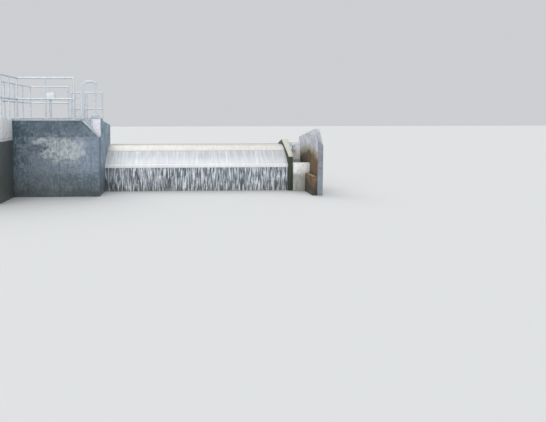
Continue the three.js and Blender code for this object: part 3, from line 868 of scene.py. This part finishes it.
def make_orifice_finish():
    """Bluish plate that has begun to rust along its foot."""
    made = Finish("orifice plate steel", metallic=0.1, roughness=0.5)
    cloud = made.noise(made.spot, 16.0, 5.0, 0.6)
    colour = made.blend(made.remap(cloud, 0.3, 0.7), tone(188, 208, 224), tone(222, 236, 246))
    rust = made.mask("below", Level=1.05, Softness=0.02, Raggedness=0.08)
    colour = made.coat(colour, rust, 0.8, tone(206, 136, 84))
    made.bump(cloud, 0.001)
    return made.end(colour, made.remap(rust, 0.0, 1.0, 0.45, 0.85))


def make_paint_finish():
    made = Finish("white enamel", roughness=0.35)
    dust = made.noise(made.spot, 10.0, 6.0, 0.65)
    colour = made.blend(made.remap(dust, 0.35, 0.7), tone(248, 250, 250), tone(234, 239, 238))
    runs = made.mask("runs", Width=0.02, Length=0.2, Amount=0.2)
    colour = made.coat(colour, runs, 0.3, tone(190, 192, 184))
    made.bump(dust, 0.0003)
    return made.end(colour, made.remap(dust, 0.3, 0.7, 0.3, 0.45))


def make_dark_plastic_finish():
    made = Finish("black fitting", roughness=0.5)
    grain = made.noise(made.spot, 90.0, 3.0)
    made.bump(grain, 0.0003)
    return made.end(made.blend(grain, tone(34, 36, 38), tone(54, 56, 58)))


def make_water_finish():
    """Still water, dark under a smooth reflecting face."""
    made = Finish("still water", roughness=0.06)
    made.shader.inputs["IOR"].default_value = 1.33
    ripple = made.noise(made.spot, 6.0, 3.0)
    colour = made.blend(ripple, tone(38, 48, 44), tone(70, 80, 72))
    made.bump(ripple, 0.004)
    return made.end(colour)


RIGHT_WALL = make_right_wall_finish()
CREST_STEEL = make_crest_finish()
SCREEN_STEEL = make_screen_finish()
RAIL_ZINC = make_zinc_finish("galvanised rail", tone(230, 235, 240), tone(196, 204, 212))
GRATING_ZINC = make_zinc_finish("galvanised grating", tone(212, 220, 226), tone(170, 179, 185), 0.55)
ORIFICE = make_orifice_finish()
PAINT = make_paint_finish()
BLACK_FITTING = make_dark_plastic_finish()
WATER = make_water_finish()


# Concrete


def tie_holes(piece, spots, outward, radius=0.016, depth=0.012):
    """Round recesses where the ties of the formwork went through."""
    push = Vector(outward) * depth
    tools = [start_rod("tie_tool", Vector(spot) - push, Vector(spot) + push, radius, 16) for spot in spots]
    return carve(piece, unite("tie_tool", tools))


def groove(piece, start, end, radius=0.005):
    """A V-shaped joint line, cut along a face."""
    return carve(piece, start_rod("groove_tool", start, end, radius, 4))


def cast(node, name, finish, slot="concrete", arris=0.015, ties=None, lifts=None):
    """A concrete node again, with its arrises taken off, tie holes and lift lines."""
    piece = soften(copied_node(node, name), arris)
    if lifts:
        near, far = lifts
        for height in LIFT_LINES:
            groove(piece, (*near, height), (*far, height))
    if ties:
        tie_holes(piece, *ties)
    return finish_piece(piece, finish, slot, node)


def front_wall():
    """The wall in front of the chamber, with its lift lines, formwork joints and tie holes."""
    high_line = LIFT_LINES[1]
    left_end, right_end, joint_foot, joint_top, apart, last_ties = -4.6, -1.2, 0.05, 1.92, 0.008, -1.65
    piece = soften(copied_node("chamber_front_wall", "front_wall_cast"), 0.015)
    for height in LIFT_LINES:
        groove(piece, (left_end, FRONT_FACE, height), (right_end, FRONT_FACE, height), 0.004)
    joints = [FIRST_JOINT + PANEL_WIDTH * step for step in (-1, 0, 1)]
    for x in joints:
        groove(piece, (x, FRONT_FACE, joint_foot), (x, FRONT_FACE, high_line - apart))
    upper = (FIRST_JOINT, FRONT_FACE, high_line + apart), (FIRST_JOINT, FRONT_FACE, joint_top)
    groove(piece, *upper, 0.004)
    spots = [(x, FRONT_FACE, z) for x in (*joints, last_ties) for z in TIE_HEIGHTS]
    tie_holes(piece, spots, (0, -1, 0))
    return finish_piece(piece, FRONT_WALL, "concrete", "chamber_front_wall")


def outer_walls():
    """The left, back, low and wing walls, and the landing."""
    left_first, back_first = -1.1, -3.91
    left_ties = [(CHAMBER_LEFT, left_first + PANEL_WIDTH * step, z) for step in range(5) for z in TIE_HEIGHTS]
    back_ties = [(back_first + PANEL_WIDTH * step, BACK_FACE, z) for step in range(2) for z in TIE_HEIGHTS]
    landing_ties = [(x, LANDING_FRONT, z) for x in (-4.2, -3.75) for z in (0.35, 1.05)]
    left_lifts = (CHAMBER_LEFT, -1.6), (CHAMBER_LEFT, 2.7)
    back_lifts = (-4.5, BACK_FACE), (-3.0, BACK_FACE)
    low_lifts = (-3.1, BACK_FACE), (-2.0, BACK_FACE)
    walls = (
        ("chamber_left_wall", "left_wall_cast", OUTER_WALL, (left_ties, (-1, 0, 0)), left_lifts),
        ("chamber_back_wall", "back_wall_cast", OUTER_WALL, (back_ties, (0, 1, 0)), back_lifts),
        ("back_low_wall", "low_wall_cast", OUTER_WALL, None, low_lifts),
        ("upstream_wing_wall", "wing_wall_cast", OUTER_WALL, None, None),
        ("landing_block", "landing_base_cast", LANDING, (landing_ties, (0, -1, 0)), None),
        ("landing_cap", "landing_slab_cast", LANDING, None, None),
    )
    for node, name, finish, ties, lifts in walls:
        cast(node, name, finish, ties=ties, lifts=lifts)


# Crest, screens and toe


def crest_plate():
    piece = copied_node("crest_plate", "crest_cover_plate")
    margin, pitch, count, line = 0.12, 0.2405, 21, 0.105
    spots = [(SCREEN_LEFT + margin + pitch * step, line, CREST) for step in range(count)]
    piece = unite("crest_cover_plate", [soften(piece, 0.0015, 1, 50)] + bolts(spots, (0, 0, 1), 0.009, 0.0))
    return finish_piece(piece, CREST_STEEL, "screen_steel", "crest_plate")


def screen_panel():
    """One wedge-wire panel, lying flat with its top edge at the origin and its fall along -Y."""
    width = SCREEN_PITCH - CLEAR
    side, end = 0.026, 0.02
    pitch, wire_width = 0.0095, 0.0078
    parts = [
        start_block("side", (0, -SCREEN_LENGTH, -SCREEN_THICK), (side, 0, 0)),
        start_block("side", (width - side, -SCREEN_LENGTH, -SCREEN_THICK), (width, 0, 0)),
        start_block("end", (side, -end, -SCREEN_THICK), (width - side, 0, 0)),
        start_block("end", (side, -SCREEN_LENGTH, -SCREEN_THICK), (width - side, end - SCREEN_LENGTH, 0)),
    ]
    for part in parts:
        soften(part, 0.0015, 1)
    wire = start_block("wire", (side, -wire_width, -0.007), (width - side, 0, -0.0008))
    edit(wire)
    pick_faces(wire, lambda middle, normal: normal.z < -0.5)
    bpy.ops.transform.resize(value=(1, 0.25, 1))
    leave_edit()
    wire.data.transform(Matrix.Translation((0, -end - 0.002, 0)))
    count = int((SCREEN_LENGTH - 2 * end) / pitch)
    parts.append(repeat(wire, count, (0, -pitch, 0)))
    rod = start_block("rod", (side + 0.09, end - SCREEN_LENGTH, -0.0115), (side + 0.096, -end, -0.006))
    parts.append(repeat(rod, 8, (0.0895, 0, 0)))
    return unite("screen_model", parts)


def screens():
    model = screen_panel()
    tilt = Matrix.Rotation(SCREEN_SLOPE, 4, "X")
    for index in range(SCREEN_COUNT):
        place = Matrix.Translation((SCREEN_LEFT + index * SCREEN_PITCH + CLEAR / 2, *SLOPE_TOP)) @ tilt
        panel = copied(model, f"wire_screen_{index + 1}", place)
        finish_piece(panel, SCREEN_STEEL, "screen_steel", f"screen_panel_{index + 1}", angle=20)
    bpy.data.objects.remove(model)


def toe_angle():
    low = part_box("toe_angle")[0]
    margin, pitch, count, recess, up = 0.15, 0.2965, 17, 0.0085, 0.032
    spots = [(SCREEN_LEFT + margin + pitch * step, low.y + recess, low.z + up) for step in range(count)]
    bar = soften(copied_node("toe_angle", "toe_angle_bar"), 0.001, 1)
    piece = unite("toe_angle_bar", [bar] + bolts(spots, (0, -1, 0), 0.009, 0.005))
    return finish_piece(piece, SCREEN_STEEL, "screen_steel", "toe_angle")


# Deck


def zinc_piece(name, parts, node, finish=RAIL_ZINC):
    return finish_piece(unite(name, parts), finish, "galvanised_steel", node)


def right_edge(y):
    """How far the deck reaches to the right at a distance upstream."""
    return SIDE_WALL_INNER + WING_SLANT * max(0.0, y - SIDE_WALL_BACK)


def edge_bar(start, end):
    """A flat bar on edge between two points of a grating's outline, on the left of the way it runs."""
    start, end = Vector((*start, 0)), Vector((*end, 0))
    line = end - start
    side = Vector((-line.y, line.x, 0)).normalized() * BAR_THICK / 2
    clear_selection()
    middle = (start + end) / 2 + side + Vector((0, 0, (GRATING_UNDERSIDE + DECK) / 2))
    bpy.ops.mesh.primitive_cube_add(size=1, location=middle)
    depth = DECK - GRATING_UNDERSIDE
    piece = settle("edge_bar", (0, 0, math.atan2(line.y, line.x)), (line.length, BAR_THICK, depth))
    return soften(piece, 0.001, 1)


def bearing_bars(first, count, near, far):
    """Bars on edge that run from beam to beam, and the rods across them."""
    left = CHAMBER_LEFT + first * BAR_PITCH
    right = left + (count - 1) * BAR_PITCH + BAR_THICK
    bar = start_block("bar", (left, near, GRATING_UNDERSIDE), (left + BAR_THICK, far, DECK - 0.0005))
    bars = repeat(bar, count, (BAR_PITCH, 0, 0))
    height, pitch, radius, margin, spare = DECK - 0.006, 0.1, 0.0035, 0.05, 0.06
    rod = start_rod("rod", (left, near + margin, height), (right, near + margin, height), radius, 6)
    rods = repeat(rod, int((far - near - spare) / pitch) + 1, (0, pitch, 0))
    return [bars, rods]


def bars_before(x):
    return int((x - CHAMBER_LEFT) / BAR_PITCH)


def deck_gratings():
    """Three gratings: fields of bars, and the outline that their edge bars follow."""
    first, second = BEAM_LINES
    inner = right_edge(first) - CLEAR
    narrow = right_edge(second) - CLEAR
    back = right_edge(BACK_INNER) - CLEAR
    left, front, far = CHAMBER_LEFT, FRONT_FACE, BACK_INNER - CLEAR
    cut, notch = FRONT_CUT, FRONT_INNER + CLEAR
    near_end, middle_end = first - CLEAR, second - CLEAR
    long_bars, all_bars = bars_before(cut), bars_before(inner) + 1
    fields = (
        [(1, long_bars - 1, front, near_end), (long_bars, all_bars - long_bars, notch, near_end)],
        [(1, all_bars - 1, first, middle_end)],
        [(1, bars_before(narrow), second, far)],
    )
    outlines = (
        [(left, front), (cut, front), (cut, notch), (inner, notch), (inner, first), (left, first)],
        [(left, first), (inner, first), (inner, SIDE_WALL_BACK), (narrow, second), (left, second)],
        [(left, second), (narrow, second), (back, far), (left, far)],
    )
    for index, (own_fields, outline) in enumerate(zip(fields, outlines), 1):
        name = f"bar_grating_{index}"
        bars = unite(name, [part for field in own_fields for part in bearing_bars(*field)])
        if index > 1:
            cut_away(bars, (narrow - BAR_THICK, second, DECK), (1, -WING_SLANT, 0))
        rim = [edge_bar(start, end) for start, end in zip(outline, outline[1:] + outline[:1])]
        zinc_piece(name, [bars] + rim, f"deck_grating_{index}", GRATING_ZINC)


def deck_beams():
    for index in range(1, 4):
        node = f"deck_beam_{index}"
        name = f"floor_beam_{index}"
        zinc_piece(name, [soften(copied_node(node, name), 0.002, 1)], node, GRATING_ZINC)


# Handrails, ladder and hoops


def corner_spots(x, y, reach, z):
    return [(x + i * reach, y + j * reach, z) for i in (-1, 1) for j in (-1, 1)]


def foot(x, y, base, half=0.05, tube=RAIL_TUBE, edge=0.016, bolt=(0.007, 0.006), weld=(0.005, 0.02, 0.003)):
    """A foot plate with its bolts and a weld collar, whose weld is (thickness, height, rounding)."""
    top = base + FOOT_THICK
    thick, height, rounding = weld
    plate = start_block("foot", (x - half, y - half, base), (x + half, y + half, top))
    heads = bolts(corner_spots(x, y, half - edge, top), (0, 0, 1), *bolt)
    collar = start_rod("collar", (x, y, top), (x, y, top + height), tube + thick)
    return [soften(plate, 0.002), *heads, soften(collar, rounding)]


def post(x, y, base):
    """A standing tube with a ball at the middle rail and a weld under the top rail."""
    top = base + RAIL_TOP
    weld_low, weld_high = top - 0.034, top - 0.016
    tube = start_rod("post", (x, y, base + TUBE_SEAT), (x, y, top), RAIL_TUBE)
    ball = start_ball("ball", (x, y, base + RAIL_MIDDLE), RAIL_TUBE * 1.45)
    weld = start_rod("weld", (x, y, weld_low), (x, y, weld_high), RAIL_TUBE + 0.003)
    return [tube, ball, soften(weld, 0.003)] + foot(x, y, base)


def rails(start, end, base):
    """The top and middle rails between two points in plan, with rounded ends on the top one."""
    parts = []
    for height in (RAIL_TOP, RAIL_MIDDLE):
        ends = [(*point, base + height) for point in (start, end)]
        parts.append(start_rod("rail", ends[0], ends[1], RAIL_TUBE))
    parts += [start_ball("rail_end", (*point, base + RAIL_TOP), RAIL_TUBE) for point in (start, end)]
    return parts


def handrail(node, name, posts, base, start=None, end=None, extra=()):
    """Posts and two rails, which run from the first post to the last unless told otherwise."""
    parts = []
    for x, y in posts:
        parts += post(x, y, base)
    parts += rails(start or posts[0], end or posts[-1], base) + list(extra)
    return zinc_piece(name, parts, node)


def all_handrails():
    front_y, front_posts = -1.25, (-3.525, -2.784, -2.043)
    side_x, side_posts = front_posts[0], (-1.85, -2.4, -2.95)
    left_x, left_near, left_far, left_count = -4.425, -2.95, 2.775, 8
    back_y, back_posts = left_far, (-3.775, -3.13)
    low_posts = (-3.02, -2.49, -1.96)
    stay_x, stay_top, stay_low, stay_tube = -2.62, 2.7, LOW_DECK + 0.02, 0.017
    handrail("front_handrail", "front_rail", [(x, front_y) for x in front_posts], DECK)
    side = [(side_x, y) for y in side_posts]
    handrail("landing_side_handrail", "landing_rail", side, DECK, side[-1], (side_x, front_y - RAIL_TUBE))
    step = (left_far - left_near) / (left_count - 1)
    left = [(left_x, left_near + step * index) for index in range(left_count)]
    handrail("left_handrail", "left_rail", left, DECK)
    back = [(x, back_y) for x in back_posts]
    handrail("back_handrail", "back_rail", back, DECK, start=(left_x + RAIL_TUBE, back_y))
    low = [(x, back_y) for x in low_posts]
    stay = start_rod("stay", (*low[0], stay_top), (stay_x, back_y, stay_low), stay_tube)
    stay_parts = [stay] + foot(stay_x, back_y, LOW_DECK, 0.04)
    handrail("back_low_handrail", "back_low_rail", low, LOW_DECK, extra=stay_parts)


def ladder():
    left, right, line = -2.943, -2.603, 2.975
    low, top, tube = 0.7, 2.876, 0.025
    back, face, half_wide, half_high = BACK_FACE + 0.0003, BACK_FACE + 0.006, 0.03, 0.04
    arm_start, arm_tube, bolt_reach, brackets = BACK_FACE + 0.004, 0.014, 0.026, (0.95, 1.65)
    first_rung, rung_step, rung_tube, top_margin = 0.805, 0.21, 0.011, 0.05
    parts = []
    for x in (left, right):
        parts.append(soften(start_rod("stile", (x, line, low), (x, line, top), tube), 0.004))
        for z in brackets:
            near, far = (x - half_wide, back, z - half_high), (x + half_wide, face, z + half_high)
            parts.append(soften(start_block("bracket", near, far), 0.002, 1))
            parts.append(start_rod("arm", (x, arm_start, z), (x, line, z), arm_tube, 16))
            parts += bolts([(x, face, z - bolt_reach), (x, face, z + bolt_reach)], (0, 1, 0), 0.006, 0.005)
    z = first_rung
    while z < top - top_margin:
        parts.append(start_rod("rung", (left, line, z), (right, line, z), rung_tube, 16))
        z += rung_step
    return zinc_piece("access_ladder", parts, "ladder")


def hoops():
    """Two bent hoops from the deck to the plinth."""
    deck_x, plinth_x = -1.793, -1.453
    tube, shoulder, corner = 0.019, 0.16, 0.05
    for index, y in enumerate((-1.48, -1.22), 1):
        node = f"hoop_rail_{index}"
        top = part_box(node)[1].z - tube
        rise = top - shoulder - DECK - TUBE_SEAT
        fall = top - corner - PLINTH_TOP - TUBE_SEAT
        moves = [
            ("run", (0, 0, rise)),
            ("turn", ((deck_x + shoulder, y, top - shoulder), (0, 1, 0), 90)),
            ("run", (plinth_x - deck_x - shoulder - corner, 0, 0)),
            ("turn", ((plinth_x - corner, y, top - corner), (0, 1, 0), 90)),
            ("run", (0, 0, -fall)),
        ]
        parts = [bent_tube("hoop", (deck_x, y, DECK + TUBE_SEAT), (0, 0, 1), tube, moves)]
        for x, base in ((deck_x, DECK), (plinth_x, PLINTH_TOP)):
            parts += foot(x, y, base, 0.045)
        zinc_piece(f"boarding_hoop_{index}", parts, node)


# Instruments and the compensation bay


def instrument_post():
    x, y, stem, top = -3.193, 0.76, 0.03, 2.5695
    head_low, head_radius = 2.556, 0.06
    parts = foot(x, y, DECK, 0.08, stem, 0.02, (0.009, 0.007), (0.006, 0.025, 0.004))
    parts.append(start_rod("stem", (x, y, DECK + TUBE_SEAT), (x, y, top), stem))
    parts.append(soften(start_rod("head", (x, y, head_low), (x, y, top), head_radius), 0.002))
    return zinc_piece("cabinet_stem", parts, "instrument_post")


def instrument_cabinet():
    """A cabinet with a raised door, a roof that stands proud, two hinges and a lock."""
    low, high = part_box("instrument_box")
    eaves = high.z - 0.012
    body = start_block("cabinet", (low.x + 0.006, low.y + 0.008, low.z), (high.x - 0.006, high.y, eaves))
    inset_and_push(body, lambda middle, normal: normal.y < -0.5, 0.012, -0.004)
    door_low = (low.x + 0.02, low.y + 0.002, low.z + 0.014)
    door_high = (high.x - 0.02, low.y + 0.014, eaves - 0.012)
    door = start_block("door", door_low, door_high)
    roof = start_block("roof", (low.x, low.y, eaves), high)
    parts = [soften(body, 0.006), soften(door, 0.004), soften(roof, 0.004)]
    hinge_x, hinge_y, hinge_long = low.x + 0.016, low.y + 0.006, 0.03
    for z in (low.z + 0.05, high.z - 0.065):
        parts.append(start_rod("hinge", (hinge_x, hinge_y, z), (hinge_x, hinge_y, z + hinge_long), 0.005, 12))
    finish_piece(unite("instrument_cabinet", parts), PAINT, "white_paint", "instrument_box")
    lock_x, middle = high.x - 0.04, (low.z + high.z) / 2
    lock_back, lock_face = (lock_x, low.y + 0.004, middle), (lock_x, low.y + 0.0005, middle)
    lock = soften(start_rod("cabinet_lock", lock_back, lock_face, 0.01, 20), 0.001, 1)
    finish_piece(lock, BLACK_FITTING, "white_paint")


def orifice_plate():
    low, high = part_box("orifice_plate")
    name, edge, face = "compensation_orifice_plate", 0.02, low.y + 0.003
    plate = soften(copied_node("orifice_plate", name), 0.001, 1, 60)
    across, up = (low.x + edge, high.x - edge), (low.z + edge, high.z - edge)
    heads = bolts([(x, face, z) for x in across for z in up], (0, -1, 0), 0.007, 0.0)
    return zinc_piece(name, [plate] + heads, "orifice_plate", ORIFICE)


def still_water(name, outline, level, depth=0.012):
    """A level water surface with a little body under it, drawn along an outline."""
    clear_selection()
    count = len(outline)
    bpy.ops.mesh.primitive_circle_add(vertices=count, radius=1, fill_type="NGON", location=(0, 0, level))
    piece = settle(name)
    for vertex, (x, y) in zip(piece.data.vertices, outline):
        vertex.co = (x, y, level)
    edit(piece, picked="SELECT")
    bpy.ops.mesh.extrude_region_move(TRANSFORM_OT_translate={"value": (0, 0, -depth)})
    face_outwards()
    return finish_piece(piece, WATER, "wet_concrete")


def waters():
    edge = 0.002
    basin = [
        (BAY_LEFT + DIVIDER_LEAN * LIP_BACK + edge, LIP_BACK + edge),
        (BAY_RIGHT - edge, LIP_BACK + edge),
        (BAY_RIGHT - edge, -edge),
        (BAY_LEFT + edge, -edge),
    ]
    still_water("bay_water", basin, BAY_LEVEL)
    chamber = [
        (LEFT_WALL_INNER + edge, FRONT_INNER + edge),
        (SIDE_WALL_INNER - edge, FRONT_INNER + edge),
        (SIDE_WALL_INNER - edge, SIDE_WALL_BACK),
        (right_edge(BACK_INNER) - edge, BACK_INNER - edge),
        (LEFT_WALL_INNER + edge, BACK_INNER - edge),
    ]
    still_water("chamber_water", chamber, CHAMBER_LEVEL)


def build_weir():
    front_wall()
    cast("channel_side_wall", "channel_wall_cast", SIDE_WALL)
    cast("side_wall_plinth", "hoop_plinth_cast", LANDING)
    cast("corner_pier", "corner_pier_cast", PIER)
    outer_walls()
    for node, name, finish, arris in (
        ("chamber_floor", "chamber_floor_cast", WET_WALL, 0.015),
        ("weir_upstream_wall", "weir_wall_cast", UPSTREAM_WALL, 0.008),
        ("trough_floor", "trough_floor_cast", WET_WALL, 0.005),
        ("weir_toe_wall", "toe_wall_cast", WET_WALL, 0.006),
        ("divider_wall", "divider_cast", DIVIDER, 0.012),
        ("notch_floor", "bay_floor_cast", BAY, 0.006),
        ("notch_lip", "bay_lip_cast", BAY, 0.012),
        ("right_wall_footing", "footing_cast", FOOTING, 0.012),
    ):
        cast(node, name, finish, "wet_concrete", arris)
    cast("notch_back_wall", "bay_back_wall_cast", BAY, arris=0.006)
    cast("right_side_wall", "right_wall_cast", RIGHT_WALL)
    crest_plate()
    screens()
    toe_angle()
    deck_gratings()
    deck_beams()
    all_handrails()
    ladder()
    hoops()
    instrument_post()
    instrument_cabinet()
    orifice_plate()
    waters()


# Studio


def stage_floor():
    clear_selection()
    bpy.ops.mesh.primitive_plane_add(size=160, location=(0, 0, -0.002))
    floor = settle("studio_floor")
    made = Finish("studio floor", roughness=0.9)
    floor.data.materials.append(made.end(tone(206, 207, 207)))


def soft_sun(name, energy, spread, direction):
    """A very wide soft light that shines in a direction."""
    lamp = bpy.data.lights.new(name, "SUN")
    lamp.energy = energy
    lamp.angle = math.radians(spread)
    holder = new_object(name, lamp)
    holder.rotation_euler = Vector(direction).to_track_quat("-Z", "Y").to_euler()


def studio():
    stage_floor()
    world = bpy.data.worlds.new("soft sky")
    world.use_nodes = True
    background = world.node_tree.nodes["Background"]
    background.inputs["Color"].default_value = (0.95, 0.97, 1.0, 1.0)
    background.inputs["Strength"].default_value = 0.64
    bpy.context.scene.world = world
    soft_sun("bright_sky", 1.3, 55, (0.22, -0.5, -0.84))
    soft_sun("far_light", 1.3, 80, (0.12, 0.8, -0.55))
    bpy.context.scene.view_settings.view_transform = "Standard"


def camera():
    """The photograph's point of view. The image is 546 by 422, cut from the right of a wider frame."""
    width, height, sensor = 546, 422, 36
    focal, axis_x, axis_y = 487.2, 202.3, 145.9
    place = (0.879, -14.322, 2.075)
    yaw, pitch, roll = (math.radians(angle) for angle in (2.12, -3.55, -0.09))
    lens = bpy.data.cameras.new("photo_camera")
    lens.sensor_width = sensor
    lens.lens = focal * sensor / width
    lens.shift_x = (width / 2 - axis_x) / width
    lens.shift_y = (axis_y - height / 2) / width
    lens.clip_end = 400
    holder = new_object("photo_camera", lens)
    holder.matrix_world = Matrix.Translation(place)
    for angle, axis in ((-yaw, "Z"), (math.pi / 2 + pitch, "X"), (roll, "Z")):
        holder.matrix_world = holder.matrix_world @ Matrix.Rotation(angle, 4, axis)
    bpy.context.scene.camera = holder


camera()
studio()
build_weir()
